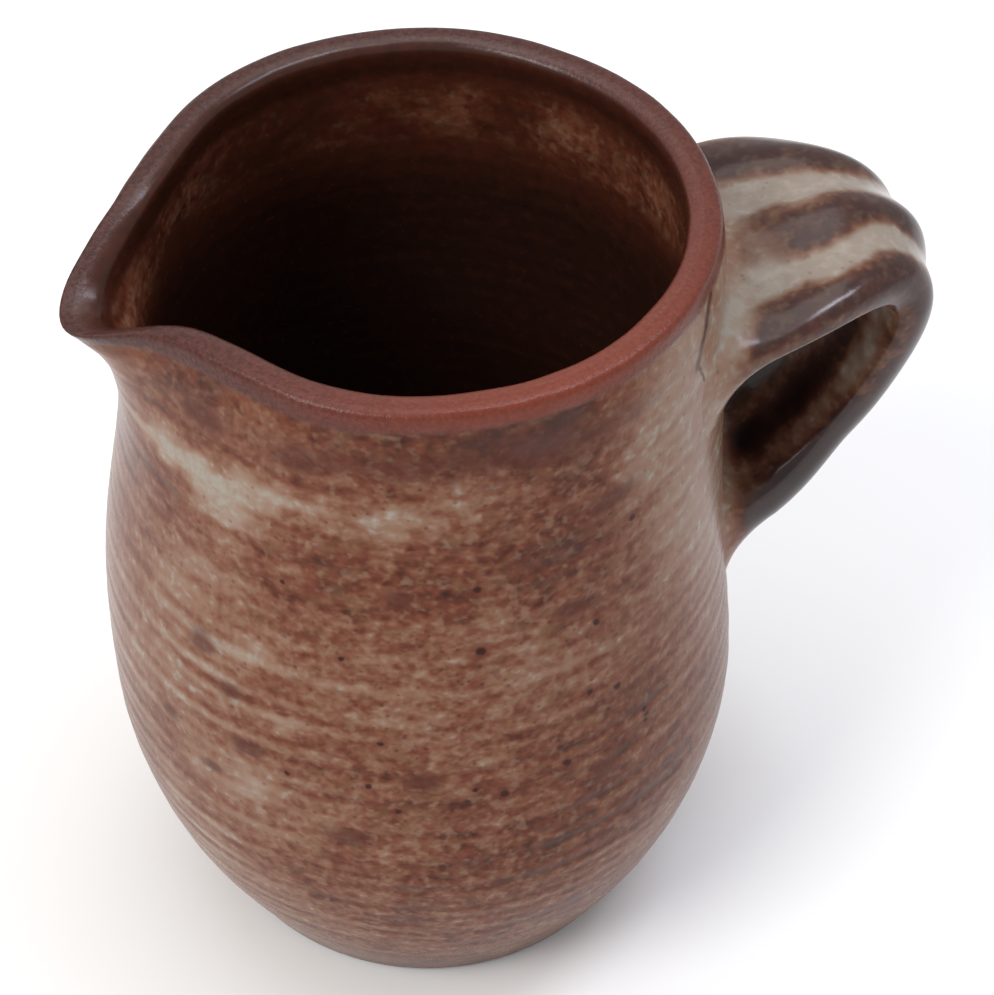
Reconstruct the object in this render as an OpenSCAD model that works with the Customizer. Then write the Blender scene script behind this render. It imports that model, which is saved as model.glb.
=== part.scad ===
// Hand-thrown stoneware milk jug with a pulled pouring lip and a pulled, ridged strap handle.
// Origin: middle of the foot, on the table. +Z is up, the lip points to -X and the handle to +X.

/* [Body] */
// Height of the rim above the table
jug_h = 110; // [95:1:130]
// Outside diameter at the foot
foot_d = 57; // [50:1:64]
// Outward slope of the wall where it leaves the foot
foot_flare = 0.57; // [0.3:0.01:0.75]
// Outside diameter of the belly
belly_d = 81.6; // [76:0.2:90]
// Height of the belly's widest ring
belly_z = 37; // [30:1:46]
// Outside diameter of the neck
neck_d = 72.4; // [68:0.2:80]
// Distance of the neck below the rim
neck_drop = 6.5; // [4:0.5:14]
// Outside diameter of the rim
rim_d = 71; // [67:0.5:80]
// Thickness of the wall at the rim
rim_wall = 4.3; // [3:0.1:5.5]
// Thickness of the wall at the foot
foot_wall = 6.5; // [4:0.1:8]
// Thickness of the floor
floor_t = 7; // [5:0.5:10]
// Radius of the curve between the floor and the wall inside
floor_fillet = 11; // [5:0.5:15]
// How far the belly leans towards the lip, as thrown walls do
belly_lean = 1.3; // [0:0.1:2.5]
// Height of the middle of that lean
lean_z = 57; // [45:1:70]
// Half height of that lean
lean_half_h = 20; // [14:1:26]

/* [Foot] */
// Width of the foot ring that meets the table
foot_ring_w = 7; // [4:0.5:12]
// Depth of the turned hollow inside the foot ring
foot_hollow_h = 2; // [1:0.25:3]
// Slope of the hollow's side, as a run outwards
foot_hollow_run = 1.5; // [0.5:0.25:3]
// Bevel round the foot's outer edge
foot_bevel = 1.2; // [0.5:0.1:2]

/* [Pouring lip] */
// How far the lip is drawn out past the rim
lip_reach = 8.5; // [4:0.5:12]
// Half angle of the lip's throat
lip_half_angle = 23.5; // [16:0.5:32]
// Distance below the rim where the lip starts to leave the wall
lip_depth = 30; // [18:1:40]
// How sharply the lip curls out towards the rim
lip_curl = 2.2; // [1.5:0.1:3]
// How far the tip of the lip dips below the rim
lip_dip = 7; // [2:0.5:9]
// Height of rim that the dip draws down
lip_dip_h = 16; // [14:0.5:22]
// How far the wall is pinched in on each side of the lip
lip_pinch = 0.7; // [0:0.1:1.5]

/* [Handle] */
// Distance of the upper root's middle below the rim
upper_root_drop = 16.5; // [14:0.5:24]
// Height between the middles of the two roots
handle_h = 33.5; // [28:0.5:42]
// Reach of the strap's middle line past the neck
handle_reach = 22; // [18:0.5:28]
// Height of the farthest point below the upper root
handle_knee = 5; // [0:0.5:10]
// Upward angle at which the strap leaves the upper root
upper_angle = 21; // [0:1:30]
// Straight pull out of the upper root
upper_pull = 14; // [9:0.5:18]
// Bend length above the farthest point
knee_above = 5.5; // [4:0.5:10]
// Bend length below the farthest point
knee_below = 7; // [4:0.5:12]
// Upward angle at which the strap leaves the lower root
lower_angle = 23; // [5:1:35]
// Straight pull out of the lower root
lower_pull = 14.5; // [9:0.5:18]
// Width of the strap at the upper root
upper_root_w = 39; // [30:0.5:44]
// Width of the strap at the bend
strap_w = 25.5; // [18:0.5:30]
// Width of the strap above the lower root
strap_low_w = 21.5; // [16:0.5:28]
// Width of the strap at the lower root
lower_root_w = 26; // [20:0.5:32]
// Thickness of the strap's edges at the upper root
upper_root_t = 6.5; // [5:0.25:10]
// Thickness of the strap's edges
strap_t = 5.4; // [4.5:0.1:7.5]
// Thickness of the strap's edges at the lower root
lower_root_t = 8.5; // [6:0.25:11]
// Height of the ridges that the fingers leave along the strap
ridge_h = 0.5; // [0.2:0.05:0.9]
// Spacing of the three ridges, as a share of the strap's half width
ridge_pitch = 0.8; // [0.7:0.01:0.9]
// Sideways shift of the three ridges, as a share of the strap's half width
ridge_shift = -0.1; // [-0.2:0.01:0.2]
// Crown of the strap's outer face from the bend down
strap_crown = 3.4; // [1.5:0.1:4.5]
// Crown of the outer face at the upper root, where less than 0 is dished
root_crown = -1.2; // [-2:0.1:2]

/* [Luting clay] */
// Length of strap that the luting clay covers
lute_run = 6.5; // [5:0.5:10]
// Spread of the luting clay over the wall
lute_spread = 3; // [2:0.1:4]
// Thickness of the clay at its feathered edge
lute_edge = 0.3; // [0.2:0.05:0.6]
// Slip-filled gap between pieces that are joined
slip_gap = 0.06; // [0.02:0.02:0.2]

/* [Hidden] */

foot_r = foot_d/2;
belly_r = belly_d/2;
neck_r = neck_d/2;
rim_r = rim_d/2;
neck_z = jug_h - neck_drop;
crest_r = rim_wall/2;
crest_z = jug_h - crest_r;
upper_root_z = jug_h - upper_root_drop;
lower_root_z = upper_root_z - handle_h;

// Columns round the wall are drawn together at the lip, where the form turns fastest
columns = 72;
column_gather = 0.35;
// Columns on each side of the handle that its seat is cut over
seat_columns = 10;
// Rows up the outside, drawn together towards the rim, and down the inside
outer_rows = 24;
row_gather = 1.35;
inner_rows = 18;
crest_steps = 6;
// Strap section points on the ridged outer face and on the plain inner face
outer_points = 26;
inner_points = 12;
// Steps along each half of the strap
strap_steps = 16;
// How far the strap runs on inside its seat before it is cut back to the wall
root_in = 12;
root_in_steps = 4;
// Stations where the upper flare ends, the taper ends and the lower flare starts: 1 is the bend
// and 2 is the lower root
upper_flare_end = 0.9;
taper_end = 1.7;
lower_flare_start = 1.6;
// Exponent of the strap's rounded edges: 1 is an ellipse, less is squarer
strap_round = 0.6;
// Exponent of the rim's rounded crest: 1 is a half circle, less is flatter on top
crest_round = 0.75;
// Exponents of the luting clay's hollow curve and of the lip's dip
lute_hollow = 2.5;
dip_curl = 1.5;
// Lowest height that the seat of the handle and its luting clay is cut at
seat_foot_z = lower_root_z - lower_root_t - lute_spread - root_in;
// Widths of the lip's throat and of its dip, and middle and width of the two shallow presses
// beside it, all in lip half angles
throat_w = 0.625;
dip_w = 0.6;
press_at = 1.6;
press_w = 0.6;
// How far a cutter runs past the face that it cuts
cut_over = 1;

function clip(x) = min(1, max(0, x));
function ease(x) = let (u = clip(x)) u*u*(3 - 2*u);
function bell(x) = exp(-x*x);

// Smooth curve from p0 to p1 with the end slopes m0 and m1
function hermite(t, p0, m0, p1, m1) =
    (2*t^3 - 3*t^2 + 1)*p0 + (t^3 - 2*t^2 + t)*m0 + (3*t^2 - 2*t^3)*p1 + (t^3 - t^2)*m1;

// Outside radius of the thrown wall at height z
function wall_r(z) =
    z < belly_z ? hermite(z/belly_z, foot_r, foot_flare*belly_z, belly_r, 0)
    : z < neck_z ? hermite((z - belly_z)/(neck_z - belly_z), belly_r, 0, neck_r, 0)
    : hermite((z - neck_z)/neck_drop, neck_r, 0, rim_r, 0);

// Thickness of the wall at height z: it thins smoothly from the foot to the rim
function wall_t(z) = rim_wall + (foot_wall - rim_wall)*(1 - clip(z/crest_z))^2;

// Thickness that the curve between floor and wall adds at height z
function fillet_t(z) =
    let (h = clip((z - floor_t)/floor_fillet)) floor_fillet*(1 - sqrt(1 - (1 - h)^2));

function lean(z) = belly_lean*bell((z - lean_z)/lean_half_h);

// Angle from the middle of the lip, in lip half angles
function off_lip(a) = abs(a - 180)/lip_half_angle;

// Outward push of the lip, less the presses on each side of it
function lip_push(z, a) =
    clip((z - jug_h + lip_depth)/lip_depth)^lip_curl
    *(lip_reach*bell(off_lip(a)/throat_w) - lip_pinch*bell((off_lip(a) - press_at)/press_w));

// Dip of the rim at the tip of the lip
function lip_fall(z, a) =
    lip_dip*clip((z - jug_h + lip_dip_h)/lip_dip_h)^dip_curl*bell(off_lip(a)/dip_w);

// Point of the wall at height z and angle a, set in by inset from the outside
function wall_point(z, a, inset) =
    let (r = wall_r(z) - inset + lip_push(z, a))
    [r*cos(a) - lean(z), r*sin(a), z - lip_fall(z, a)];

// Angle of column i, counted from the handle
function column_angle(i) =
    let (a = 360*i/columns) a + column_gather*sin(a)*180/PI;

// Heights of the outer rows from the foot bevel to the crest, closer together near the rim
function outer_z(i) = foot_bevel + (crest_z - foot_bevel)*(1 - (1 - i/outer_rows)^row_gather);

// Surface through rings of points, closed at both ends by a fan round a middle point
module skin(rings, first_mid, last_mid) {
    n = len(rings[0]);
    m = len(rings);
    points = concat([for (ring = rings) each ring], [first_mid, last_mid]);
    walls = [for (i = [0:m - 2]) for (j = [0:n - 1]) let (
        a = i*n + j, b = i*n + (j + 1)%n, c = a + n, d = b + n)
        each [[a, c, b], [b, c, d]]];
    caps = [for (j = [0:n - 1]) each [
        [m*n, j, (j + 1)%n], [m*n + 1, (m - 1)*n + (j + 1)%n, (m - 1)*n + j]]];
    polyhedron(points, concat(walls, caps));
}

// Closed band through rings of points whose last ring joins the first
module band(rings) {
    n = len(rings[0]);
    m = len(rings);
    polyhedron([for (ring = rings) each ring], [for (i = [0:m - 1]) for (j = [0:n - 1]) let (
        a = i*n + j, b = i*n + (j + 1)%n, c = (i + 1)%m*n + j, d = (i + 1)%m*n + (j + 1)%n)
        each [[a, c, b], [b, c, d]]]);
}

function wall_ring(z, inset) = [for (i = [0:columns - 1]) wall_point(z, column_angle(i), inset)];

// Ring over the crest at angle a: 0 is the outside, 90 the top and 180 the inside
function crest_ring(a) = wall_ring(
    crest_z + crest_r*sin(a)^crest_round,
    crest_r*(1 - sign(cos(a))*abs(cos(a))^crest_round));

// Rings up the outside, over the rounded crest and down the inside to the floor
body_rings = concat(
    [wall_ring(0, foot_bevel)],
    [for (i = [0:outer_rows]) wall_ring(outer_z(i), 0)],
    [for (i = [1:crest_steps - 1]) crest_ring(180*i/crest_steps)],
    [for (i = [0:inner_rows]) let (z = floor_t + (crest_z - floor_t)*(1 + cos(180*i/inner_rows))/2)
        wall_ring(z, wall_t(z) + fillet_t(z))]);

module foot_hollow() {
    ring_r = foot_r - foot_bevel - foot_ring_w;
    over_r = ring_r + cut_over*foot_hollow_run/foot_hollow_h;
    rotate_extrude($fn = columns)
        polygon([[0, -cut_over], [over_r, -cut_over],
            [ring_r - foot_hollow_run, foot_hollow_h], [0, foot_hollow_h]]);
}

module thrown_body() {
    color("#805843") difference() {
        skin(body_rings, [0, 0, 0], [-lean(floor_t), 0, floor_t]);
        foot_hollow();
    }
}

// Solid sector of the body on the handle's side, grown by the gap that slip fills
module seat(gap) {
    heights = [for (i = [0:outer_rows]) if (i == outer_rows || outer_z(i + 1) > seat_foot_z) outer_z(i)];
    skin([for (z = heights) concat(
        [[0, 0, z]],
        [for (j = [-seat_columns:seat_columns]) wall_point(z, column_angle(j), -gap)])],
        [foot_r/2, 0, heights[0]], [foot_r/2, 0, crest_z]);
}

// Middle line of the strap: two cubic arcs that meet at the point farthest from the body
function on_wall(z) = [wall_r(z) - lean(z), z];
function along(a, length) = length*[cos(a), sin(a)];
upper_root = on_wall(upper_root_z);
lower_root = on_wall(lower_root_z);
knee = [neck_r + handle_reach, upper_root_z - handle_knee];
upper_arc = [upper_root, upper_root + along(upper_angle, upper_pull), knee + [0, knee_above], knee];
lower_arc = [knee, knee - [0, knee_below], lower_root + along(lower_angle, lower_pull), lower_root];

function arc_point(p, t) =
    (1 - t)^3*p[0] + 3*(1 - t)^2*t*p[1] + 3*(1 - t)*t^2*p[2] + t^3*p[3];
function arc_slope(p, t) =
    3*(1 - t)^2*(p[1] - p[0]) + 6*(1 - t)*t*(p[2] - p[1]) + 3*t^2*(p[3] - p[2]);

// Stations along the strap: 0 at the upper root, 1 at the knee, 2 at the lower root, and
// past both ends, in shares of root_in, straight on into the seat
function strap_mid(u) =
    u < 0 ? upper_root + along(upper_angle, u*root_in)
    : u <= 1 ? arc_point(upper_arc, u)
    : u <= 2 ? arc_point(lower_arc, u - 1)
    : lower_root - along(lower_angle, (u - 2)*root_in);
function strap_slope(u) =
    u < 0 ? along(upper_angle, 1)
    : u <= 1 ? arc_slope(upper_arc, u)
    : u <= 2 ? arc_slope(lower_arc, u - 1)
    : -along(lower_angle, 1);

// Share of the upper root, the lower end and the lower root in the strap's size at station u
function upper_share(u) = 1 - ease(u/upper_flare_end);
function low_share(u) = ease((u - upper_flare_end)/(taper_end - upper_flare_end));
function lower_share(u) = ease((u - lower_flare_start)/(2 - lower_flare_start));
function width_at(u) = strap_w + (upper_root_w - strap_w)*upper_share(u)
    + (strap_low_w - strap_w)*low_share(u) + (lower_root_w - strap_low_w)*lower_share(u);
function thickness_at(u) = strap_t + (upper_root_t - strap_t)*upper_share(u)
    + (lower_root_t - strap_t)*lower_share(u);

// Section of the strap at station u: a rounded strap whose outer face is crowned and ridged
section_angles = concat([for (i = [0:outer_points - 1]) 180*i/outer_points],
    [for (i = [0:inner_points - 1]) 180 + 180*i/inner_points]);
function crown_at(u) = strap_crown + (root_crown - strap_crown)*upper_share(u);
function face_rise(a, u) =
    a >= 180 ? 0
    : ridge_h*cos(360*(cos(a) - ridge_shift)/ridge_pitch)*sin(a)^strap_round + crown_at(u)*sin(a);
function strap_section(u, grow) = let (
    mid = strap_mid(u),
    slope = strap_slope(u),
    out = [-slope[1], slope[0]]/norm(slope),
    half_w = width_at(u)/2 + grow,
    half_t = thickness_at(u)/2 + grow)
    [for (a = section_angles) let (
        rise = half_t*sign(sin(a))*abs(sin(a))^strap_round + face_rise(a, u),
        p = mid + rise*out)
        [p[0], half_w*cos(a), p[1]]];

strap_stations = [for (i = [-root_in_steps:2*strap_steps + root_in_steps])
    i < 0 ? i/root_in_steps
    : i <= 2*strap_steps ? i/strap_steps
    : 2 + (i - 2*strap_steps)/root_in_steps];

module pulled_handle() {
    color("#8d8078") difference() {
        skin([for (u = strap_stations) strap_section(u, 0)],
            [strap_mid(-1)[0], 0, strap_mid(-1)[1]], [strap_mid(3)[0], 0, strap_mid(3)[1]]);
        seat(slip_gap);
    }
}

// Distance of a point from the outside of the wall
function off_wall(p) = norm([p[0] + lean(p[2]), p[1]]) - wall_r(p[2]);

// Thickness of the luting clay over a point of the strap: most at the wall, feathered along the strap
function lute_t(p) = lute_edge + lute_spread*(1 - clip(off_wall(p)/lute_run))^lute_hollow;

// Section of the luting clay's outside at station u: the strap's own section, moved out along its
// growth per millimetre
function lute_section(u) = let (
    inside = strap_section(u, slip_gap),
    outside = strap_section(u, slip_gap + 1))
    [for (i = [0:len(inside) - 1]) inside[i] + lute_t(inside[i])*(outside[i] - inside[i])];

// Collar of clay worked into the corner between the strap and the wall
module luting(stations) {
    difference() {
        band(concat(
            [for (u = stations) lute_section(u)],
            [for (i = [len(stations) - 1:-1:0]) strap_section(stations[i], slip_gap)]));
        seat(slip_gap);
    }
}

module upper_luting() {
    color("#8a746a") luting([for (u = strap_stations)
        if (u <= 0 || u < 1 && norm(strap_mid(u) - upper_root) <= lute_run) u]);
}

module lower_luting() {
    color("#7a5a4c") luting([for (u = strap_stations)
        if (u >= 2 || u > 1 && norm(strap_mid(u) - lower_root) <= lute_run) u]);
}

thrown_body();
pulled_handle();
upper_luting();
lower_luting();
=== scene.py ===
"""Looks of a hand-thrown stoneware milk jug: glazed body, bare rim and ridged strap handle.

Both pieces are surfaces worked out on a grid of two parameters, in millimetres, in the frame of the
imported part: the foot stands on z = 0, the lip points to -X and the handle to +X. Angles round the jug
are in degrees from the handle, so the lip is at 180 and the side towards the camera near 253.
"""
import math

import bpy
import numpy as np
from mathutils import Matrix, Vector


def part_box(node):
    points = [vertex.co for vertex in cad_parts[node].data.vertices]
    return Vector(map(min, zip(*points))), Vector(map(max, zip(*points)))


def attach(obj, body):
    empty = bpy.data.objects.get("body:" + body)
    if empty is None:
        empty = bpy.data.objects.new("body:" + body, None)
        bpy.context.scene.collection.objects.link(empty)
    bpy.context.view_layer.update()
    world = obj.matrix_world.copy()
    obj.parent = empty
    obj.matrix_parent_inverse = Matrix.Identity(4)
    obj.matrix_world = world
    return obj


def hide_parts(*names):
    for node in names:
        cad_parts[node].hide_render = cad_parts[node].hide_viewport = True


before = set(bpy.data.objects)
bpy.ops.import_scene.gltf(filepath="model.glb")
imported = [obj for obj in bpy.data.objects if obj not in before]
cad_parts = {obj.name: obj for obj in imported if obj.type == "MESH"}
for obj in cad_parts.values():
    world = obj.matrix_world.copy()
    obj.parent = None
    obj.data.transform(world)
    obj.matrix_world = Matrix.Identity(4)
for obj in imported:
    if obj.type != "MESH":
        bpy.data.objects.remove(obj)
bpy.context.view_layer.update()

MM = 0.001
body_high = np.array(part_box("thrown_body")[1]) / MM

# Thrown body
jug_h = body_high[2]
belly_r = body_high[1]
belly_z = 37
foot_r = 28.5
foot_flare = 0.57
neck_r = 36.2
neck_drop = 6.5
neck_z = jug_h - neck_drop
rim_r = 35.5
rim_wall = 4.3
foot_wall = 6.5
floor_t = 7
floor_fillet = 11
belly_lean, lean_z, lean_half_h = 1.3, 57, 20
crest_r = rim_wall / 2
crest_z = jug_h - crest_r
# Exponents of the rim's corners: 1 is round, less is squarer
crest_outer_round, crest_inner_round = 0.5, 0.8

# Foot
foot_ring_w = 7
foot_hollow_h = 2
foot_hollow_run = 1.5
foot_bevel = 1.2

# Pouring lip
lip_angle = 180
lip_reach, lip_half_angle, lip_depth, lip_curl = 8.4, 23.5, 30, 2.2
lip_dip, lip_dip_h, dip_curl = 7, 16, 1.5
lip_pinch = 0.7
throat_w, dip_w, press_at, press_w = 0.625, 0.6, 1.6, 0.6

# Throwing marks: height of the finger rings and their two pitches; then the slow wobble of the wall, the
# bumps and the sway of the rim, and the wobble of the strap
ring_h, ring_pitch, broad_pitch = 0.06, 2.6, 4.7
wobble_h, rim_bump_h, rim_sway, strap_wobble_h = 0.12, 0.05, 0.15, 0.1
# Height and pitch of the spiral on the floor, and of the turning marks under the foot
spiral_h, spiral_pitch = 0.22, 4.6
turning_h, turning_pitch = 0.08, 1.7

# Strap handle
upper_root_z = jug_h - 16.5
lower_root_z = upper_root_z - 33.5
handle_reach, handle_knee = 21.9, 5
upper_angle, upper_pull, knee_above = 21, 14, 5.5
lower_angle, lower_pull, knee_below = 23, 14.5, 7
upper_root_w, strap_w, strap_low_w, lower_root_w = 39, 25.5, 21.5, 26
upper_root_t, strap_t, lower_root_t = 6.5, 5.4, 8.5
ridge_h, ridge_pitch, ridge_shift, strap_round = 0.5, 0.8, -0.1, 0.6
strap_crown, root_crown = 3.4, -1.2
upper_flare_end, taper_end, lower_flare_start = 0.9, 1.7, 1.6
# Where the strap starts to spread into the wall, and how far that reaches to the sides, up and down
flare_leg = 6.5
upper_spread = (9.0, 3.5, 12.0)
lower_spread = (4.5, 5.0, 6.5)
end_blunt, buried, cap_depth = 0.3, 0.7, 2.2

# Rows and columns of the two surfaces, how far the body's columns gather at the lip, and the radius of the
# small ring round each pole
body_columns, column_gather, pole_r = 180, 0.3, 0.4
under_rows, bevel_rows, outer_rows, crest_rows, inner_rows, floor_rows = 10, 6, 296, 26, 112, 15
strap_columns, strap_rows, flare_rows, cap_rows = 132, 150, 18, 8


def bell(x):
    """Falls from 1 in the middle to almost 0 at two widths."""
    return np.exp(-x * x)


def ease(x):
    """Smooth step from 0 to 1."""
    u = np.clip(x, 0, 1)
    return u * u * (3 - 2 * u)


def hermite(t, p0, m0, p1, m1):
    """Cubic curve from p0 to p1 with the end slopes m0 and m1."""
    return ((2 * t**3 - 3 * t**2 + 1) * p0 + (t**3 - 2 * t**2 + t) * m0
            + (3 * t**2 - 2 * t**3) * p1 + (t**3 - t**2) * m1)


def drift(points, size, seed):
    """Slow wandering between about -1 and 1: a mean of plane waves of one size in random directions."""
    rng = np.random.default_rng(seed)
    waves = 18
    ways = rng.normal(size=(waves, 3))
    ways /= np.linalg.norm(ways, axis=1, keepdims=True)
    ways *= rng.uniform(0.6, 1.6, (waves, 1)) * 2 * np.pi / size
    return np.cos(points @ ways.T + rng.uniform(0, 2 * np.pi, waves)).sum(-1) / math.sqrt(waves) / 1.2


def wall_radius(z):
    """Outside radius at height z: cubic curves from foot to belly, belly to neck and neck to rim."""
    low = hermite(z / belly_z, foot_r, foot_flare * belly_z, belly_r, 0)
    high = hermite((z - belly_z) / (neck_z - belly_z), belly_r, 0, neck_r, 0)
    top = hermite((z - neck_z) / neck_drop, neck_r, 0, rim_r, 0)
    return np.where(z < belly_z, low, np.where(z < neck_z, high, top))


def wall_thickness(z):
    """Wall at height z, thinning from the foot to the rim, with the hollow curve above the floor."""
    wall = rim_wall + (foot_wall - rim_wall) * (1 - np.clip(z / crest_z, 0, 1))**2
    h = np.clip((z - floor_t) / floor_fillet, 0, 1)
    return wall + floor_fillet * (1 - np.sqrt(1 - (1 - h)**2))


def lean(z):
    """Shift of the belly towards the lip."""
    return belly_lean * bell((z - lean_z) / lean_half_h)


def off_lip(a):
    """Angle from the middle of the lip, in lip half angles."""
    return np.abs(a - lip_angle) / lip_half_angle


def lip_push(z, a):
    """Outward push of the lip, growing to the rim, less the two presses beside it."""
    off = off_lip(a)
    grow = np.clip((z - jug_h + lip_depth) / lip_depth, 0, 1)**lip_curl
    return grow * (lip_reach * bell(off / throat_w) - lip_pinch * bell((off - press_at) / press_w))


def lip_fall(z, a):
    """Dip of the rim at the tip of the lip."""
    return lip_dip * np.clip((z - jug_h + lip_dip_h) / lip_dip_h, 0, 1)**dip_curl * bell(off_lip(a) / dip_w)


def wall_point(z, a, inset):
    """Point at height z and angle a, set in from the outside of the wall by inset."""
    r = wall_radius(z) - inset + lip_push(z, a)
    turn = np.radians(a)
    x, y = r * np.cos(turn) - lean(z), r * np.sin(turn)
    return np.stack(np.broadcast_arrays(x, y, z - lip_fall(z, a)), -1)


def finger_rings(z, a):
    """Spiral of finger marks from -1 to 1: one pitch a turn, over a broader spiral, both wandering."""
    turns = a / 360
    wander = 0.8 * np.sin(z / 5.3 + 1) + 0.4 * np.cos(np.radians(a) + z / 11)
    fine = np.cos(2 * np.pi * (z / ring_pitch + turns) + wander)
    broad = np.cos(2 * np.pi * (z / broad_pitch - turns) + 2 * wander)
    return 0.5 * fine + 0.5 * broad


def surface(name, grid, poles, marks):
    """Closed skin over a grid of points whose columns run round, with each end row drawn to its pole.

    The faces are quads between neighbouring rows and a fan of triangles at each pole. marks holds
    named values for the grid's points, which the finish reads; a pole takes the mean of its row.
    """
    rows, columns = grid.shape[:2]
    index = np.arange(rows * columns).reshape(rows, columns)
    beside = np.roll(index, -1, axis=1)
    quads = np.stack([index[:-1], beside[:-1], beside[1:], index[1:]], -1).reshape(-1, 4)
    first, last = rows * columns, rows * columns + 1
    fans = np.concatenate([
        np.stack([np.full(columns, first), beside[0], index[0]], -1),
        np.stack([np.full(columns, last), index[-1], beside[-1]], -1)])
    points = np.concatenate([grid.reshape(-1, 3), np.array(poles, float)]) * MM
    corners = np.concatenate([quads.ravel(), fans.ravel()]).astype(np.int32)
    starts = np.concatenate([np.arange(len(quads)) * 4, len(quads) * 4 + np.arange(len(fans)) * 3])
    mesh = bpy.data.meshes.new(name)
    mesh.vertices.add(len(points))
    mesh.vertices.foreach_set("co", points.astype(np.float32).ravel())
    mesh.loops.add(len(corners))
    mesh.loops.foreach_set("vertex_index", corners)
    mesh.polygons.add(len(starts))
    mesh.polygons.foreach_set("loop_start", starts.astype(np.int32))
    mesh.polygons.foreach_set("use_smooth", np.ones(len(starts), bool))
    for mark, values in marks.items():
        values = np.broadcast_to(values, (rows, columns))
        values = np.concatenate([values.ravel(), [values[0].mean(), values[-1].mean()]])
        mesh.attributes.new(mark, "FLOAT", "POINT").data.foreach_set("value", values.astype(np.float32))
    mesh.update(calc_edges=True)
    mesh.validate()
    piece = bpy.data.objects.new(name, mesh)
    bpy.context.scene.collection.objects.link(piece)
    return piece


# Glaze: where it lies thick it is pale, where it is thin the iron shows through. Its depth runs from 0,
# none, to 1, thick. A place is an angle round the jug and a height.
glaze_depth, pooled_and_sheen_depth, inside_depth = 0.495, 0.7, 0.15
groove_depth, strap_inner_depth, strap_inner_pitch = 0.76, 0.5, 0.75
wall_mottling, side_mottling, inside_mottling, strap_mottling = 0.62, 0.38, 0.7, 0.45
# Middle of each broad side, then of the thin glaze under the rim and low on the wall, of the plum blush
# under the rim and of the rim's red flush
front_angle, back_angle = 258, 105
rim_thin_angle, low_thin_angle, plum_angle, flush_angle = 272, 284, 268, 280
# Height of the bare rim and of the bare foot
bare_rim_h, bare_foot_h = 2.6, 1.6
# Bands round the wall: height, half height and change of depth
glaze_bands = ((86, 7, -0.09), (68, 9, 0.04), (99, 4, -0.06))
# Pale runs: place, half width, half height and gain of depth
pale_runs = (
    (200, 92.5, 8.5, 2.6, 0.42), (215, 90.5, 5.0, 4.2, 0.42), (229, 94, 7.0, 1.6, 0.26),
    (249, 93.5, 4.8, 3.2, 0.2), (226, 69, 5.0, 2.0, 0.2), (231, 60, 4.0, 1.5, 0.16),
    (225, 48.5, 3.5, 1.6, 0.2), (152, 93, 9.0, 3.0, 0.4), (128, 91, 6.0, 4.5, 0.38),
    (96, 94, 8.0, 2.2, 0.3), (66, 90, 6.0, 4.0, 0.3), (140, 66, 5.0, 2.0, 0.2),
    (105, 57, 4.5, 1.6, 0.2), (70, 69, 5.0, 2.2, 0.18), (40, 50, 5.0, 2.0, 0.18),
)
# Thick glaze in the corner of the upper root, as a pale run
root_pale = (337, 96.5, 5.0, 3.5, 0.3)
# Plum ovals: place, half width and half height
plum_ovals = (
    (211, 101, 3.2, 1.7), (232, 101, 2.8, 1.4), (251, 82.5, 1.9, 1.9), (213, 67, 2.4, 2.2),
    (224, 54, 2.8, 1.6), (205, 51.5, 2.0, 1.4), (216, 47, 2.2, 1.2), (256, 53.5, 2.4, 1.5),
    (242, 42.5, 3.4, 1.7), (220, 62, 2.2, 1.3), (291, 91, 3.5, 2.0), (283, 77, 2.6, 1.6),
    (289, 48, 2.2, 1.5), (150, 100, 3.0, 1.6), (120, 84, 2.2, 2.0), (92, 101, 3.0, 1.5),
    (108, 69, 2.4, 2.0), (80, 55, 2.6, 1.5), (135, 50, 2.2, 1.5), (60, 80, 2.4, 1.8),
    (45, 63, 2.4, 1.6), (98, 43, 3.0, 1.6),
)
# Iron spots: place and half width
iron_spots = (
    (264.5, 83.5, 0.75), (265.5, 74, 0.75), (288, 73, 0.6), (296, 86, 0.6), (229, 82, 0.5),
    (246.5, 52.5, 0.6), (251.5, 48.5, 0.6), (270, 50, 0.8), (282, 52, 0.75), (287, 62, 0.65),
    (293, 60.5, 0.75), (231.5, 52, 0.5), (265, 51.5, 0.5), (241, 72.5, 0.5), (248.5, 60, 0.5),
    (299.3, 53.6, 0.45), (299.6, 52.6, 0.55), (299.5, 51.6, 0.45), (170, 70, 0.6), (146, 81, 0.7),
    (122, 60, 0.7), (112, 88, 0.6), (88, 74, 0.75), (100, 50, 0.7), (62, 58, 0.7), (75, 86, 0.6),
    (48, 45, 0.6), (136, 44, 0.6), (28, 40, 0.6),
)
# Crease beside the upper root, where the luted clay did not close on the wall, painted as a dark line of
# shade: its places from the top, the half width of each leg between them, and how far below the plain wall
# the skin lies there
crease_places = ((323.5, 107.2), (320.2, 105), (316.9, 99.9), (320.3, 95.9))
crease_half_ws, crease_inset = (0.9, 1.15, 0.42), 0.33


def patch(z, a, place):
    """Soft oval round a place of the wall, 1 in its middle."""
    angle, height, half_w, half_h = place[:4]
    across = np.radians((a - angle + 180) % 360 - 180) * wall_radius(z)
    return bell(across / half_w) * bell((z - height) / half_h)


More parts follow.
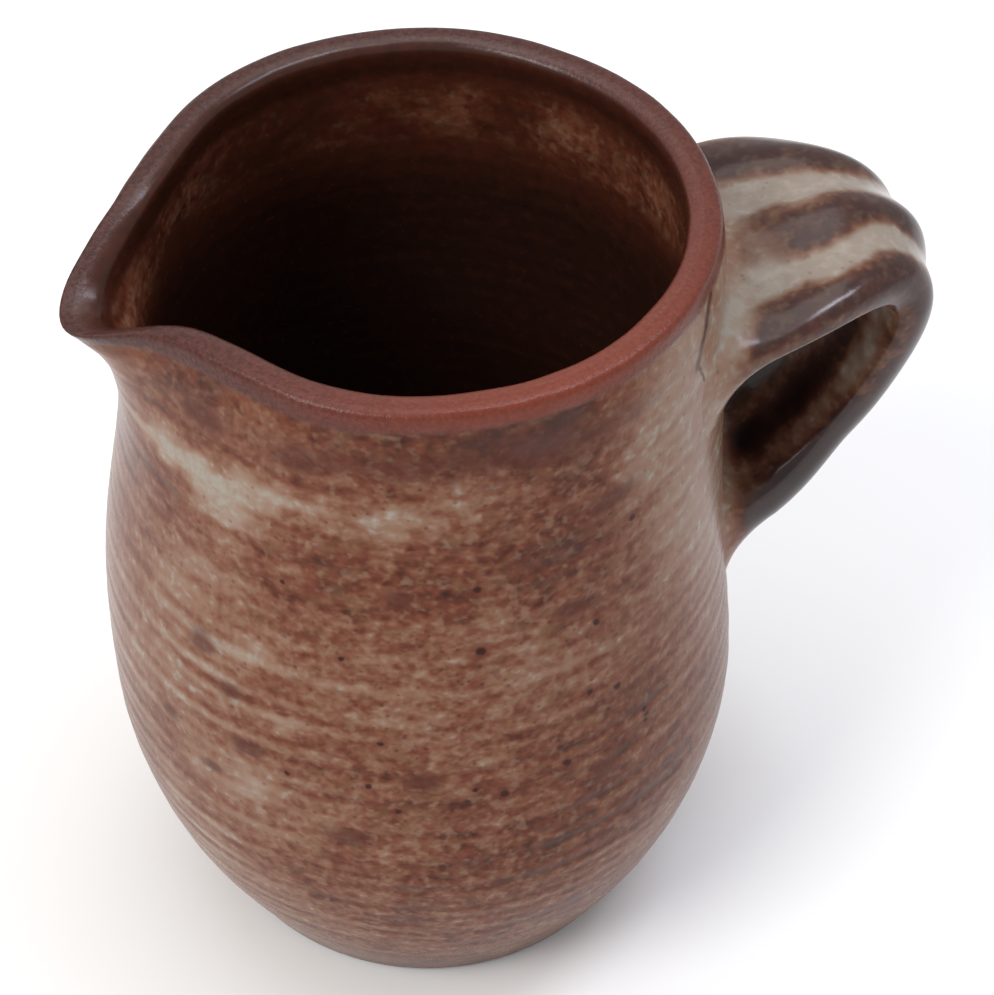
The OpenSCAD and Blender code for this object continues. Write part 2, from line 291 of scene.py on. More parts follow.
def wall_glaze_light_and_shade(z, a, points):
    """Depth of glaze on the outside of the wall, as the dipping left it, with painted light and shade.

    Slow drifts and level bands; less under the rim and low on the front; more in the pale runs, and more
    beside the lip as painted light. Round the handle it goes to one pale depth, pooled glaze with a painted
    sheen, but for a patch of painted shade behind the strap, where the glaze is also thinner.
    """
    level = glaze_depth + 0.05 * drift(points, 34, 1) + 0.05 * drift(points, 11, 2)
    for height, half_h, change in glaze_bands:
        level = level + change * bell((z - height) / half_h)
    level = level - 0.22 * bell((z - 106.5) / 4.5) * (0.4 + 0.6 * bell((a - rim_thin_angle) / 30))
    level = level - 0.095 * bell((a - low_thin_angle) / 36) * ease((80 - z) / 20)
    # Painted light: lighter beside the lip, on the side that the window light falls on.
    level = level + 0.1 * bell((np.abs(a - lip_angle) - 33) / 18) * ease((97 - z) / 10)
    for run in pale_runs:
        level = level + run[4] * patch(z + 1.2 * drift(points, 6, 3), a, run)
    to_handle = np.abs((a + 180) % 360 - 180)
    # Round the handle the wall goes over to one pale grey: pooled glaze, with a painted sheen of reflected
    # light on it.
    pooled_and_sheen_to = 58 + 20 * ease((z - 62) / 26)
    pooled_and_sheen = ease((pooled_and_sheen_to - to_handle) / 26 + 0.12 * drift(points, 14, 13))
    level = level + (pooled_and_sheen_depth - level) * 0.85 * pooled_and_sheen * ease((z - 42) / 34)
    level = level + root_pale[4] * patch(z, a, root_pale)
    # Painted shade: darker on the wall behind the strap, where the loop shades it, over glaze a little
    # thinner there.
    return level - 0.26 * ease((27 - to_handle) / 14) * ease((88 - z) / 8) * ease((z - 64) / 10)


def inside_glaze(z, a, points):
    """Depth of glaze inside: thin and dark, with a broken band of thicker glaze below the rim."""
    broken = (0.3 + 0.1 * drift(points, 5, 6)) * (0.4 + 0.35 * drift(points, 17, 7))
    level = inside_depth + 0.11 * ease((z - 84) / 14) + broken * bell((z - 99.5) / 4)
    return level + 0.012 * np.cos(2 * np.pi * z / 3.1 + np.radians(a)) - 0.05 * ease((z - 103) / 3)


def bare_rim(z, a, inset):
    """Share of bare clay on the rim, from a soft line below its outer edge to a soft line inside."""
    soft = 2.6 - 1.6 * bell((a - 275) / 35)
    fade = 0.2 + 0.45 * ease((90 - np.abs(a - 135)) / 40)
    return ease((z - jug_h + bare_rim_h + soft / 2) / soft) * ease((1.02 - inset / rim_wall) / fade)


def mottling(z, a):
    """How strongly the glaze is mottled: most on the two broad sides, least at lip, handle and foot."""
    off_side = np.minimum(np.abs(a - front_angle), np.abs(a - back_angle))
    return wall_mottling + side_mottling * bell(off_side / 40) * ease((z - 2) / 14)


def plum_blush(z, a):
    """Share of purple-grey in the glaze, in soft ovals where iron spots melted out."""
    under_rim = 0.8 * bell((z - 102.8) / 3.2) * bell((a - plum_angle) / 46)
    return np.clip(sum(patch(z, a, place) for place in plum_ovals) + under_rim, 0, 1)


def body_profile():
    """Height and inset of every row: under the foot, up the outside, over the crest, down to the floor."""
    ring_r = foot_r - foot_bevel - foot_ring_w
    hollow_r = ring_r - foot_hollow_run
    s = np.linspace(0, 1, under_rows)
    under_z = np.concatenate([np.full(under_rows, foot_hollow_h), foot_hollow_h * (1 - ease(s[1:])),
                              np.zeros(under_rows - 1)])
    under_r = np.concatenate([pole_r + (hollow_r - pole_r) * s, hollow_r + foot_hollow_run * s[1:],
                              ring_r + foot_ring_w * s[1:]])
    turn = np.radians(np.linspace(0, 90, bevel_rows + 2)[1:-1])
    bevel_z = foot_bevel * (1 - np.cos(turn))
    bevel_inset = foot_bevel * (1 - np.sin(turn))
    outer_z = np.linspace(foot_bevel, crest_z, outer_rows)
    over = np.radians(np.linspace(0, 180, crest_rows + 2)[1:-1])
    corner = np.where(np.cos(over) > 0, crest_outer_round, crest_inner_round)
    crest_top = crest_z + crest_r * np.sin(over)**corner
    crest_in = crest_r * (1 - np.sign(np.cos(over)) * np.abs(np.cos(over))**corner)
    inner_z = floor_t + (crest_z - floor_t) * (1 + np.cos(np.pi * np.linspace(0, 1, inner_rows))) / 2
    floor_edge = wall_thickness(np.array(floor_t))
    floor_in = np.linspace(floor_edge, wall_radius(np.array(floor_t)) - pole_r, floor_rows + 1)[1:]
    z = np.concatenate([under_z, bevel_z, outer_z, crest_top, inner_z, np.full(floor_rows, floor_t)])
    inset = np.concatenate([wall_radius(under_z) - under_r, bevel_inset, np.zeros(outer_rows), crest_in,
                            wall_thickness(inner_z), floor_in])
    outside = np.arange(len(z)) < len(under_z) + len(bevel_z) + outer_rows + crest_rows // 2
    return z, inset, outside


def body_marks(z, a, inset, outside, points, rings):
    """Depth of glaze with the wall's painted light and shade, bare clay and its flush, plum blush and
    mottling at every point of the body.
    """
    beside_lip = bell((np.abs(a - lip_angle) - 25) / 28)
    ring_tint = (0.06 + 0.04 * ease((80 - z) / 20)) * (1 + 0.7 * beside_lip)
    outer = wall_glaze_light_and_shade(z, a, points) + ring_tint * rings
    bare = np.where(outside | (z > crest_z), bare_rim(z, a, inset), 0)
    bare_foot = np.where(outside, ease((bare_foot_h - z) / 0.5), 0)
    past_flush = (a - flush_angle + 180) % 360 - 180
    return {
        "glaze": np.where(outside, outer, inside_glaze(z, a, points)),
        "bare": np.maximum(bare, bare_foot),
        "flush": bell(past_flush / np.where(past_flush > 0, 78, 52)) * bare,
        "plum": np.where(outside, plum_blush(z, a), 0),
        "luted": 1,
        "mottled": np.where(outside, mottling(z, a), inside_mottling),
    }


def make_body():
    """Thrown body: its profile carried round the axis and drawn out at the lip, with the hand's marks.

    Finger rings stand out on both faces of the wall, fade at foot, floor and rim, and wander in strength;
    a slow wobble moves the wall in, and the rim sways. The floor has a spiral, the foot turning marks.
    """
    z, inset, outside = (row[:, None] for row in body_profile())
    turn = 2 * np.pi * np.arange(body_columns) / body_columns
    a = np.degrees(turn + column_gather * np.sin(turn))[None, :]
    plain = wall_point(z, a, inset)
    radius = wall_radius(z) - inset
    on_wall = np.where(outside, ease((z - 5) / 8), ease((z - floor_t) / 6)) * ease((jug_h - 4 - z) / 10)
    rings = finger_rings(z, a) * on_wall * (0.7 + 0.3 * drift(plain, 24, 12))
    ring_relief = ring_h * (0.55 + 0.45 * ease((70 - z) / 20)) * rings * np.where(outside, 1, -1)
    rim_bumps = rim_bump_h * drift(plain, 8, 5) * ease((z - jug_h + 9) / 6)
    wobble = wobble_h * (drift(plain, 38, 4) - 1) + rim_bumps - ring_h
    grid = wall_point(z, a, inset - ring_relief - wobble * ease(radius / 12) * ease(z / 4))
    grid[..., 2] += rim_sway * (drift(plain, 30, 11) - 1) * ease((z - jug_h + 20) / 20)
    spiral = np.cos(2 * np.pi * (radius / spiral_pitch + a / 360))
    spiral = spiral * ease(radius / 3) * ease((24 - radius) / 6)
    grid[..., 2] += np.where(outside | (z > floor_t + 0.01), 0, spiral_h * spiral)
    turning = np.cos(2 * np.pi * radius / turning_pitch) * ease((19 - radius) / 2) * ease(radius / 2)
    in_hollow = outside & (z >= foot_hollow_h - 0.01) & (radius < 20)
    grid[..., 2] += np.where(in_hollow, turning_h * turning, 0)
    poles = [(0, 0, foot_hollow_h), (0, 0, floor_t)]
    return surface("glazed_body", grid, poles, body_marks(z, a, inset, outside, plain, rings))


def arc(p, t):
    """Point and slope of the cubic curve with the four control points p."""
    t = t[..., None]
    point = (1 - t)**3 * p[0] + 3 * (1 - t)**2 * t * p[1] + 3 * (1 - t) * t**2 * p[2] + t**3 * p[3]
    slope = 3 * (1 - t)**2 * (p[1] - p[0]) + 6 * (1 - t) * t * (p[2] - p[1]) + 3 * t**2 * (p[3] - p[2])
    return point, slope


def heading(angle, length):
    """Step of this length at this upward angle, in x and z."""
    return length * np.array([math.cos(math.radians(angle)), math.sin(math.radians(angle))])


def strap_line(u):
    """Middle line of the strap and its direction: 0 at the upper root, 1 at the knee, 2 at the lower."""
    upper = np.array([wall_radius(upper_root_z) - lean(upper_root_z), upper_root_z])
    lower = np.array([wall_radius(lower_root_z) - lean(lower_root_z), lower_root_z])
    knee = np.array([neck_r + handle_reach, upper_root_z - handle_knee])
    first = [upper, upper + heading(upper_angle, upper_pull), knee + [0, knee_above], knee]
    second = [knee, knee - [0, knee_below], lower + heading(lower_angle, lower_pull), lower]
    p1, d1 = arc(first, np.clip(u, 0, 1))
    p2, d2 = arc(second, np.clip(u - 1, 0, 1))
    point = np.where((u < 1)[..., None], p1, p2)
    slope = np.where((u < 1)[..., None], d1, d2)
    return point, slope / np.linalg.norm(slope, axis=-1, keepdims=True)


def strap_point(u, turn):
    """Point of the strap at station u and section angle turn.

    The section is a rounded strap whose outer face, turn 0 to 180, has three ridges and a crown that
    grows from the upper root to the knee.
    """
    upper_share = 1 - ease(u / upper_flare_end)
    low_share = ease((u - upper_flare_end) / (taper_end - upper_flare_end))
    lower_share = ease((u - lower_flare_start) / (2 - lower_flare_start))
    width = (strap_w + (upper_root_w - strap_w) * upper_share + (strap_low_w - strap_w) * low_share
             + (lower_root_w - strap_low_w) * lower_share)
    thick = strap_t + (upper_root_t - strap_t) * upper_share + (lower_root_t - strap_t) * lower_share
    across, rise = np.cos(turn), np.sin(turn)
    face = np.clip(rise, 0, 1)
    crown = strap_crown + (root_crown - strap_crown) * upper_share
    ridges = ridge_h * np.cos(2 * np.pi * (across - ridge_shift) / ridge_pitch) * face**strap_round
    lift = thick / 2 * np.sign(rise) * np.abs(rise)**strap_round + ridges + crown * face
    point, slope = strap_line(u)
    return np.stack([point[..., 0] - slope[..., 1] * lift, width / 2 * across,
                     point[..., 1] + slope[..., 0] * lift], -1)


def to_wall(p):
    """Angle, height and distance off the wall of a point."""
    x, y, z = p[..., 0] + lean(p[..., 2]), p[..., 1], p[..., 2]
    return np.stack([np.degrees(np.arctan2(y, x)), z, np.hypot(x, y) - wall_radius(z)], -1)


def from_wall(w):
    """Point at an angle, height and distance off the wall."""
    return wall_point(w[..., 1], w[..., 0], -w[..., 2])


def leave_station(turn, stations):
    """First of the stations where the strap is clear of the wall by flare_leg, for each section angle."""
    off = to_wall(strap_point(stations[:, None], turn[None, :]))[..., 2]
    return stations[np.argmax(off > flare_leg, axis=0)]


def root_flare(u, turn, way, spread, rows):
    """Clay worked from the strap into the wall: a curve at every section angle.

    In wall coordinates it is a quadratic curve that starts along the strap, turns at the corner where the
    strap would meet the wall and ends flat along the wall, just under its skin, away from the strap.
    """
    start = strap_point(u, turn)
    slope = strap_line(u)[1] * way
    step = np.stack([slope[:, 0], np.zeros(len(u)), slope[:, 1]], -1)
    reach = np.zeros(len(u))
    for _ in range(24):
        reach = reach + to_wall(start + step * reach[:, None])[:, 2]
    begin, corner = to_wall(start), to_wall(start + step * reach[:, None])
    radius = wall_radius(corner[:, 1])
    away = np.stack([end_blunt * np.cos(turn), np.sin(turn) * way * np.sign(step[:, 0])], -1)
    away /= np.linalg.norm(away, axis=1, keepdims=True)
    side, up, down = spread
    far = side * away[:, 0]**2 + np.where(away[:, 1] > 0, up, down) * away[:, 1]**2
    end = corner + np.stack([np.degrees(far * away[:, 0] / radius), far * away[:, 1], np.zeros(len(u))], -1)
    end[:, 2], corner[:, 2] = -buried, 0
    t = np.linspace(0, 1, rows)[:, None, None]
    return from_wall((1 - t)**2 * begin + 2 * t * (1 - t) * corner + t**2 * end)


def root_cap(edge, root_z):
    """Closed end of a root inside the wall's clay: its edge, sunk and drawn in to the root's middle."""
    rim = to_wall(edge)
    middle = np.array([0, root_z, -cap_depth])
    t = np.linspace(0, 1, cap_rows + 1)[:-1, None, None]
    rings = middle + (rim - middle) * (1 - t)
    rings[..., 2] = -cap_depth
    return from_wall(rings)


def strap_marks(grid, station, turn):
    """Depth of glaze on the strap: pale in the grooves, dark on the ridges, striped on the inner face.

    The ridges darken away from the upper root. The lower arm darkens towards the lower root, and its inner
    face more, as painted shade under the loop. At the roots the glaze runs over into the wall's, whose
    share is the mark luted.
    """
    across, rise = np.cos(turn)[None], np.sin(turn)[None]
    around, height, off = np.moveaxis(to_wall(grid), -1, 0)
    around = around % 360
    outer_face = ease((rise + 0.1) / 0.35)
    rag = drift(grid, 9, 10) + 0.6 * drift(grid, 3.5, 14)
    run = across - ridge_shift + 0.08 * (1 - across**2)
    crest = 0.5 + 0.5 * np.cos(2 * np.pi * run / ridge_pitch + 0.5 * drift(grid, 16, 9))
    darkening = 4.5 + 8.5 * bell((across + 0.1) / 0.45)
    rooted = np.where(station < 1, (off - 1) / darkening, (off - 0.5) / 5)
    ridge_dark = 0.2 + 0.26 * ease(rooted + 0.12 * rag)
    outer = groove_depth - ridge_dark * ease(crest * 1.3 - 0.1 + 0.12 * rag)
    stripes = np.cos(2 * np.pi * (across + strap_inner_pitch) / strap_inner_pitch)
    inner = strap_inner_depth + 0.21 * stripes + 0.08 * rag
    depth = inner + (outer - inner) * outer_face - 0.12 * ease((station - 1.15) / 0.4)
    # Painted shade: the inner face of the lower arm, under the loop, is made darker.
    depth = depth - 0.14 * ease((station - 1.4) / 0.35) * (1 - outer_face)
    near = 1 - ease((off - 0.3) / np.where(station < 1, 4.2, 3.4))
    return {
        "glaze": depth + (wall_glaze_light_and_shade(height, around, grid) - depth) * near,
        "bare": 0,
        "flush": 0,
        "plum": 0,
        "luted": near,
        "mottled": strap_mottling + (mottling(height, around) - strap_mottling) * near,
    }


def make_handle():
    """Pulled strap carried along its bent middle line, with both roots spread into the wall."""
    turn = 2 * np.pi * np.arange(strap_columns) / strap_columns
    first = leave_station(turn, np.linspace(0, 1, 400))
    last = leave_station(turn, np.linspace(2, 1, 400))
    t = np.linspace(0, 1, strap_rows)[:, None]
    u = first + (last - first) * t
    strap = strap_point(u, np.broadcast_to(turn, u.shape))
    upper = root_flare(first, turn, -1, upper_spread, flare_rows)
    lower = root_flare(last, turn, 1, lower_spread, flare_rows)
    grid = np.concatenate([root_cap(upper[-1], upper_root_z)[::-1], upper[::-1], strap[1:-1], lower,
                           root_cap(lower[-1], lower_root_z)])
    grid = grid + strap_wobble_h * drift(grid, 14, 8)[..., None] * [0, 0.6, 1.0]
    ends = flare_rows + cap_rows
    station = np.concatenate([np.repeat(first[None], ends, 0), u[1:-1], np.repeat(last[None], ends, 0)])
    poles = [from_wall(np.array([0.0, z, -cap_depth])) for z in (upper_root_z, lower_root_z)]
    return surface("strap_handle", grid, poles, strap_marks(grid, station, turn))


def paint(red, green, blue):
    """Colour from 0 to 255 as seen, as the linear colour that a shader takes."""
    seen = np.array([red, green, blue]) / 255
    linear = np.where(seen <= 0.04045, seen / 12.92, ((seen + 0.055) / 1.055)**2.4)
    return (*linear.tolist(), 1.0)


class Finish:
    """One material, written as steps that each add a node and give back its result."""

    def __init__(self, name):
        self.material = bpy.data.materials.new(name)
        self.material.use_nodes = True
        self.tree = self.material.node_tree
        self.shader = self.tree.nodes["Principled BSDF"]
        self.place = self.add("ShaderNodeTexCoord").outputs["Object"]

    def add(self, kind, inputs=None, **settings):
        """Node of this kind, with its settings and with its inputs fed."""
        node = self.tree.nodes.new(kind)
        for key, value in settings.items():
            setattr(node, key, value)
        for key, value in (inputs or {}).items():
            self.feed(node.inputs[key], value)
        return node

    def feed(self, socket, value):
        """Joins a result to a socket, or sets the socket to a plain value."""
        if isinstance(value, bpy.types.NodeSocket):
            self.tree.links.new(value, socket)
        else:
            socket.default_value = value

    def mark(self, name):
        """Named value of the piece's own points."""
        return self.add("ShaderNodeAttribute", attribute_name=name).outputs["Fac"]

    def math(self, operation, *values, clamp=False):
        """Sum, product or the like of one to three values."""
        inputs = dict(enumerate(values))
        return self.add("ShaderNodeMath", inputs, operation=operation, use_clamp=clamp).outputs[0]

    def vector(self, operation, *values):
        """Sum, product or the like of one to three vectors."""
        return self.add("ShaderNodeVectorMath", dict(enumerate(values)), operation=operation).outputs

    def stretched(self, scale):
        """Place on the piece, scaled along each axis."""
        return self.add("ShaderNodeMapping", {"Vector": self.place, "Scale": scale}).outputs[0]

    def noise(self, size, detail, rough):
        """Cloudy value round 0.5 whose lumps are about size millimetres."""
        inputs = {"Vector": self.place, "Scale": 1 / (size * MM), "Detail": detail, "Roughness": rough}
        return self.add("ShaderNodeTexNoise", inputs).outputs["Fac"]

    def clouds(self, size, detail, flat):
        """Three cloudy values round 0.5 with nothing to do with each other, flat times wider than high."""
        inputs = {"Vector": self.stretched((1, 1, flat)), "Scale": 1 / (size * MM), "Detail": detail}
        colour = self.add("ShaderNodeTexNoise", inputs).outputs["Color"]
        return self.add("ShaderNodeSeparateColor", {"Color": colour}).outputs

    def off_middle(self, value):
        """How far a cloudy value is above its middle."""
        return self.math("SUBTRACT", value, 0.5)

    def blend(self, where, most, share, first, second):
        """Second colour laid over the first where a cloud stands, up to most of it, times share."""
        return self.mix(self.math("MULTIPLY", self.math("MULTIPLY", where, most), share), first, second)

    def step(self, value, low, high):
        """Smooth step from 0 at low to 1 at high."""
        inputs = {"Value": value, "From Min": low, "From Max": high}
        return self.add("ShaderNodeMapRange", inputs, interpolation_type="SMOOTHSTEP").outputs[0]

    def mix(self, share, first, second):
        """First colour where share is 0, second where it is 1."""
        node = self.add("ShaderNodeMix", data_type="RGBA")
        for socket, value in zip((node.inputs[0], node.inputs[6], node.inputs[7]), (share, first, second)):
            self.feed(socket, value)
        return node.outputs[2]

    def ramp(self, value, stops):
        """Colour read off a row of stops."""
        node = self.add("ShaderNodeValToRGB", {"Fac": value})
        elements = node.color_ramp.elements
        while len(elements) < len(stops):
            elements.new(0.5)
        for element, (position, colour) in zip(elements, stops):
            element.position, element.color = position, colour
        return node.outputs["Color"]


# Colours of the glaze by its depth, on the wall and on the strap, and where it lies thick
wall_stops = (
    (0.0, paint(20, 12, 10)), (0.15, paint(44, 24, 18)), (0.28, paint(74, 36, 24)),
    (0.4, paint(101, 56, 39)), (0.5, paint(118, 76, 57)), (0.62, paint(133, 100, 82)),
    (0.76, paint(143, 120, 104)), (1.0, paint(143, 122, 106)),
)
strap_stops = (
    (0.0, paint(22, 13, 11)), (0.2, paint(47, 26, 22)), (0.3, paint(54, 34, 31)),
    (0.38, paint(71, 43, 35)), (0.48, paint(96, 66, 51)), (0.58, paint(115, 92, 78)),
    (0.7, paint(133, 120, 108)), (1.0, paint(150, 141, 130)),
)
wall_pale, strap_pale = paint(149, 141, 130), paint(148, 138, 127)
# Colours that mottle it, and of the clay
olive, rust = paint(116, 88, 64), paint(104, 50, 36)
dark_grain, light_grain, pepper_brown = paint(92, 46, 33), paint(142, 114, 94), paint(70, 34, 26)
# The dark brown of the iron spots also paints the crease's shade.
plum_brown, iron_and_crease_shade_brown, iron_halo = paint(76, 37, 29), paint(50, 20, 16), paint(96, 46, 32)
clay_dark, clay_light = paint(52, 29, 26), paint(77, 45, 40)
flush_dark, flush_light = paint(88, 35, 23), paint(132, 62, 43)
# Sizes of the mottling's clouds, grains and pepper, of the clay's grain and of the ripples in the skin
cloud_size, grain_size, pepper_size, clay_size, ripple_size = 3.4, 1.35, 1.9, 0.55, 1.8
# Size and reach of the bends in the edges of spots and crease
bend_size, bend_reach = 1.3, 0.7


def mottled_glaze(f, depth, luted, cloud, grain):
    """Colour read off the stops at a swaying depth, veiled by olive and rust, grained and peppered."""
    mottle = f.mark("mottled")
    lively = f.math("MULTIPLY", f.step(depth, 0.74, 0.5), f.step(depth, 0.2, 0.4))
    share = f.math("MULTIPLY", lively, mottle)
    sway = f.math("MULTIPLY", f.off_middle(cloud[0]), 0.45)
    sway = f.math("MULTIPLY_ADD", f.off_middle(grain[0]), 0.5, sway)
    sway = f.math("MULTIPLY", sway, f.math("MULTIPLY_ADD", lively, 0.75, 0.25))
    level = f.math("MULTIPLY_ADD", sway, mottle, depth)
    colour = f.mix(luted, f.ramp(level, strap_stops), f.ramp(level, wall_stops))
    colour = f.blend(f.step(cloud[1], 0.5, 0.66), 0.4, share, colour, olive)
    colour = f.blend(f.step(cloud[2], 0.52, 0.68), 0.4, share, colour, rust)
    colour = f.blend(f.step(grain[1], 0.52, 0.72), 0.5, share, colour, dark_grain)
    colour = f.blend(f.step(grain[2], 0.5, 0.74), 0.45, share, colour, light_grain)
    pepper = f.add("ShaderNodeTexVoronoi", {"Vector": f.place, "Scale": 1 / (pepper_size * MM)})
    return f.blend(f.step(pepper.outputs["Distance"], 0.19, 0.09), 0.5, mottle, colour, pepper_brown)


def thick_glaze(f, depth, cloud, grain, fine):
    """Share of pale glaze: where it is deep, with edges torn by the clouds and broken by fine grain."""
    torn = f.math("MULTIPLY", f.off_middle(grain[0]), 0.8)
    torn = f.math("MULTIPLY_ADD", f.off_middle(cloud[0]), 0.7, torn)
    thick = f.step(f.math("ADD", depth, torn), 0.64, 1.04)
    broken = f.math("MULTIPLY_ADD", fine, -2.2, f.math("MULTIPLY_ADD", grain[1], -1.4, 2.7))
    return f.math("MULTIPLY", thick, broken, clamp=True)


def wall_place(angle, height, inset):
    """Point of the wall at an angle and a height, below its outside by the inset, in metres."""
    return wall_point(np.array(float(height)), np.array(float(angle)), inset) * MM


def gap_to_leg(f, place, start, end):
    """Distance from a place to the straight line between two points."""
    leg = end - start
    away = f.vector("SUBTRACT", place, tuple(start))["Vector"]
    share = f.vector("DOT_PRODUCT", away, tuple(leg / (leg @ leg)))["Value"]
    share = f.math("ADD", share, 0.0, clamp=True)
    nearest = f.vector("MULTIPLY_ADD", share, tuple(leg), tuple(start))["Vector"]
    return f.vector("DISTANCE", place, nearest)["Value"]


def spotted(f, colour, spots):
    """Dark iron spots with rusty halos, and the crease as a dark line of painted shade, by the distance
    from them to a bent place.
    """
    bends = f.add("ShaderNodeTexNoise", {"Vector": f.place, "Scale": 1 / (bend_size * MM)})
    bends = f.vector("SUBTRACT", bends.outputs["Color"], (0.5, 0.5, 0.5))["Vector"]
    bent = f.vector("MULTIPLY_ADD", bends, (bend_reach * MM,) * 3, f.place)["Vector"]
    iron, halo = 0.0, 0.0
    for angle, height, size in spots:
        gap = f.vector("DISTANCE", bent, tuple(wall_place(angle, height, 0.0)))["Value"]
        iron = f.math("MAXIMUM", iron, f.step(gap, 1.1 * size * MM, 0.5 * size * MM))
        halo = f.math("MAXIMUM", halo, f.step(gap, 2.8 * size * MM, 0.9 * size * MM))
    turns = [wall_place(angle, height, crease_inset) for angle, height in crease_places]
    # Painted shade: the crease is drawn as a dark line in the spots' brown, standing in for the shade in
    # the crack.
    for start, end, half_w in zip(turns, turns[1:], crease_half_ws):
        crease = f.step(gap_to_leg(f, bent, start, end), half_w * MM, 0.2 * half_w * MM)
        iron = f.math("MAXIMUM", iron, f.math("MULTIPLY", crease, 0.8))
    colour = f.mix(f.math("MULTIPLY", halo, 0.45), colour, iron_halo)
    return f.mix(f.math("MULTIPLY", iron, 0.95), colour, iron_and_crease_shade_brown)


def bare_clay(f, fine):
    """Grainy brown clay, flushed red where the kiln's flame touched it."""
    clay = f.mix(f.step(fine, 0.3, 0.7), clay_dark, clay_light)
    flushed = f.mix(fine, flush_dark, flush_light)
    return f.mix(f.math("MULTIPLY", f.mark("flush"), 0.9), clay, flushed)


def glaze_finish(name, spots):
    """Iron-speckled glaze that breaks from pale where thick to rust where thin, over bare brown clay.

    The mark luted is 0 on the strap, whose glaze is greyer and smoother, and 1 on the wall.
    """
    f = Finish(name)
    # The mark glaze carries the painted light and shade of the wall and strap along with the depth of the
    # glaze.
    depth, luted = f.mark("glaze"), f.mark("luted")
    cloud = f.clouds(cloud_size, 2, 1.7)
    grain = f.clouds(grain_size, 1.5, 1.1)
    fine = f.noise(clay_size, 3, 0.65)
    colour = mottled_glaze(f, depth, luted, cloud, grain)
    pale = f.mix(luted, strap_pale, wall_pale)
    colour = f.mix(thick_glaze(f, depth, cloud, grain, fine), colour, pale)
    plum = f.step(f.math("MULTIPLY_ADD", f.off_middle(cloud[0]), 1.1, f.mark("plum")), 0.2, 0.85)
    colour = f.mix(f.math("MULTIPLY", plum, 0.7), colour, plum_brown)
    if spots:
        colour = spotted(f, colour, spots)
    bare = f.step(f.math("MULTIPLY_ADD", f.off_middle(cloud[0]), 0.5, f.mark("bare")), 0.15, 0.85)
    f.feed(f.shader.inputs["Base Color"], f.mix(bare, colour, bare_clay(f, fine)))

    dull = f.math("MULTIPLY_ADD", grain[0], 0.12, f.math("MULTIPLY_ADD", luted, 0.07, 0.12))
    f.feed(f.shader.inputs["Roughness"], f.math("MULTIPLY_ADD", bare, 0.04, dull))
    shine = f.math("MULTIPLY_ADD", bare, 0.14, f.math("MULTIPLY_ADD", luted, -0.16, 0.26))
    shine = f.math("MULTIPLY_ADD", f.step(depth, 0.38, 0.22), 0.14, shine)
    f.feed(f.shader.inputs["Specular IOR Level"], shine)
    height = f.math("MULTIPLY", f.noise(ripple_size, 2, 0.5), 0.5)
    height = f.math("MULTIPLY_ADD", bare, f.math("MULTIPLY", fine, 1.5), height)
    height = f.math("MULTIPLY_ADD", grain[0], 0.15, height)
    bump = f.add("ShaderNodeBump", {"Strength": 0.5, "Distance": 0.12 * MM, "Height": height})
    f.feed(f.shader.inputs["Normal"], bump.outputs[0])
    return f.material


def dress(piece, material, nodes):
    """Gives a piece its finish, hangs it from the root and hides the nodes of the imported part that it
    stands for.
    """
    piece.data.materials.append(material)
    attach(piece, "root")
    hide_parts(*nodes)


dress(make_body(), glaze_finish("speckled_glaze", iron_spots), ["thrown_body"])
dress(make_handle(), glaze_finish("handle_glaze", ()),
      ["pulled_handle", "upper_luting", "lower_luting"])

# Camera: as far above and beside the jug as in the photograph, whose frame is 994 by 995 pixels
frame_px = 995
view_azimuth, view_elevation, view_roll = -16.8, 45.2, 0.6
view_distance, focal_px = 400, 3100
aim_z = 55
aim_right_px, aim_down_px = -71.3, 37.7


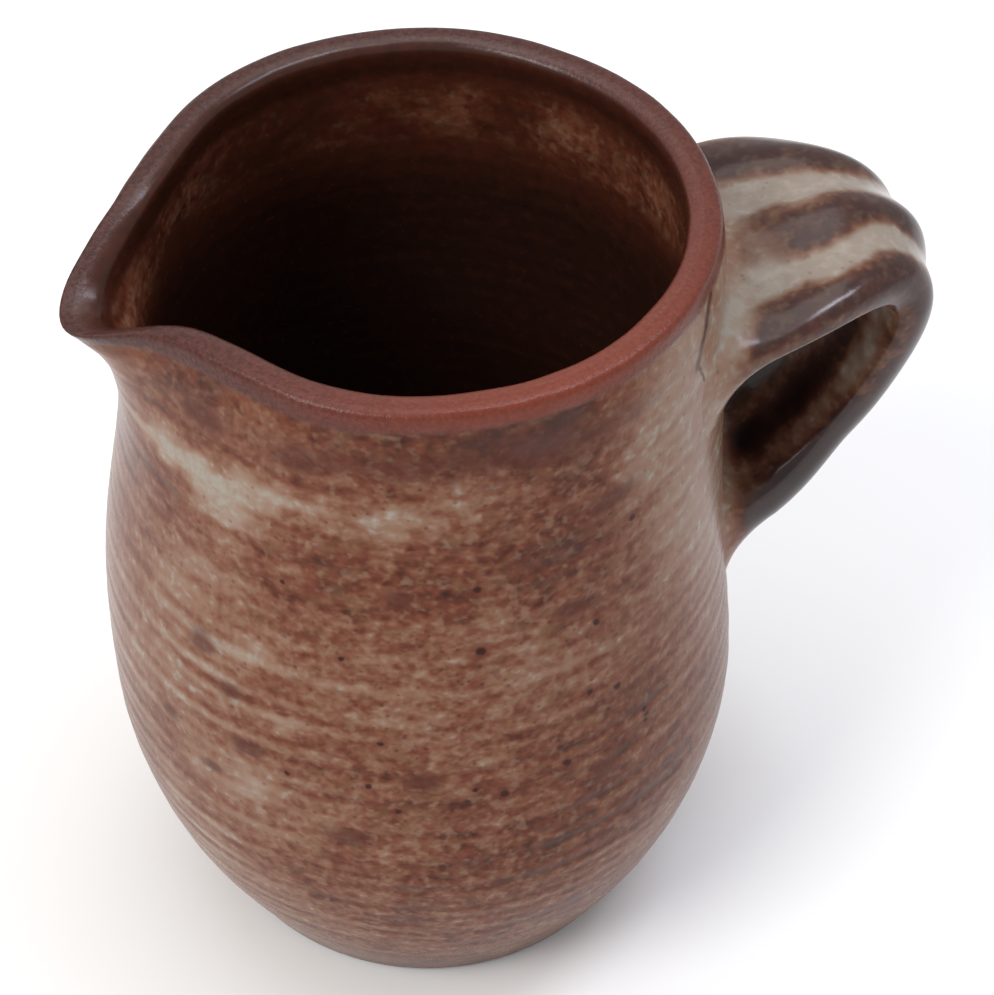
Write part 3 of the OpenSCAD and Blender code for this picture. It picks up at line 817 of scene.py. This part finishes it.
def place_camera():
    """Camera that looks straight along its viewing angle, stepped aside so that the jug is off centre."""
    az, el, roll = (math.radians(x) for x in (view_azimuth, view_elevation, view_roll))
    right = Vector((math.cos(az), math.sin(az), 0))
    ahead = Vector((-math.sin(az) * math.cos(el), math.cos(az) * math.cos(el), -math.sin(el)))
    above = right.cross(ahead)
    ray = Vector((aim_right_px / focal_px, aim_down_px / focal_px, 1)).normalized() * view_distance
    spot = Vector((0, 0, aim_z)) - ray.x * right + ray.y * above - ray.z * ahead
    x_axis = math.cos(roll) * right + math.sin(roll) * above
    y_axis = math.cos(roll) * above - math.sin(roll) * right
    data = bpy.data.cameras.new("camera")
    data.sensor_width = 36
    data.lens = focal_px * data.sensor_width / frame_px
    data.clip_start = 0.01
    camera = bpy.data.objects.new("camera", data)
    turned = Matrix((x_axis, y_axis, -ahead)).transposed().to_4x4()
    camera.matrix_world = Matrix.Translation(spot * MM) @ turned
    bpy.context.scene.collection.objects.link(camera)
    bpy.context.scene.camera = camera


def soft_box(name, place, target, size, power, colour):
    """Soft light of this width and height that faces its target."""
    data = bpy.data.lights.new(name, "AREA")
    data.shape = "RECTANGLE"
    data.size, data.size_y = size
    data.energy, data.color = power, colour
    lamp = bpy.data.objects.new(name, data)
    lamp.location = place
    lamp.rotation_euler = (Vector(target) - Vector(place)).to_track_quat("-Z", "Y").to_euler()
    bpy.context.scene.collection.objects.link(lamp)


def make_floor():
    """Wide pale floor on the plane that the jug stands on."""
    half = 6.0
    mesh = bpy.data.meshes.new("floor")
    corners = [(-half, -half, 0), (half, -half, 0), (half, half, 0), (-half, half, 0)]
    mesh.from_pydata(corners, [], [(0, 1, 2, 3)])
    f = Finish("pale_floor")
    tone = f.noise(400, 2, 0.5)
    f.feed(f.shader.inputs["Base Color"], f.mix(tone, (0.87, 0.87, 0.87, 1), (0.91, 0.91, 0.91, 1)))
    f.shader.inputs["Roughness"].default_value = 0.9
    f.shader.inputs["Specular IOR Level"].default_value = 0.1
    mesh.materials.append(f.material)
    floor = bpy.data.objects.new("floor", mesh)
    bpy.context.scene.collection.objects.link(floor)


place_camera()
make_floor()
soft_box("window", (-0.62, -0.3, 0.75), (0, 0, 0.06), (0.4, 0.4), 5.0, (1.0, 0.99, 0.97))
soft_box("ceiling", (0.0, 0.25, 1.1), (0, 0, 0.06), (0.9, 0.9), 4.4, (1.0, 0.98, 0.96))
soft_box("sparkle", (0.41, -0.04, 1.03), (0.05, -0.02, 0.1), (0.13, 0.5), 3.4, (0.8, 0.85, 1.0))

world = bpy.data.worlds.new("studio")
world.use_nodes = True
sky = world.node_tree.nodes["Background"]
sky.inputs["Color"].default_value = (1, 1, 1, 1)
sky.inputs["Strength"].default_value = 0.62
bpy.context.scene.world = world
bpy.context.scene.view_settings.view_transform = "Standard"
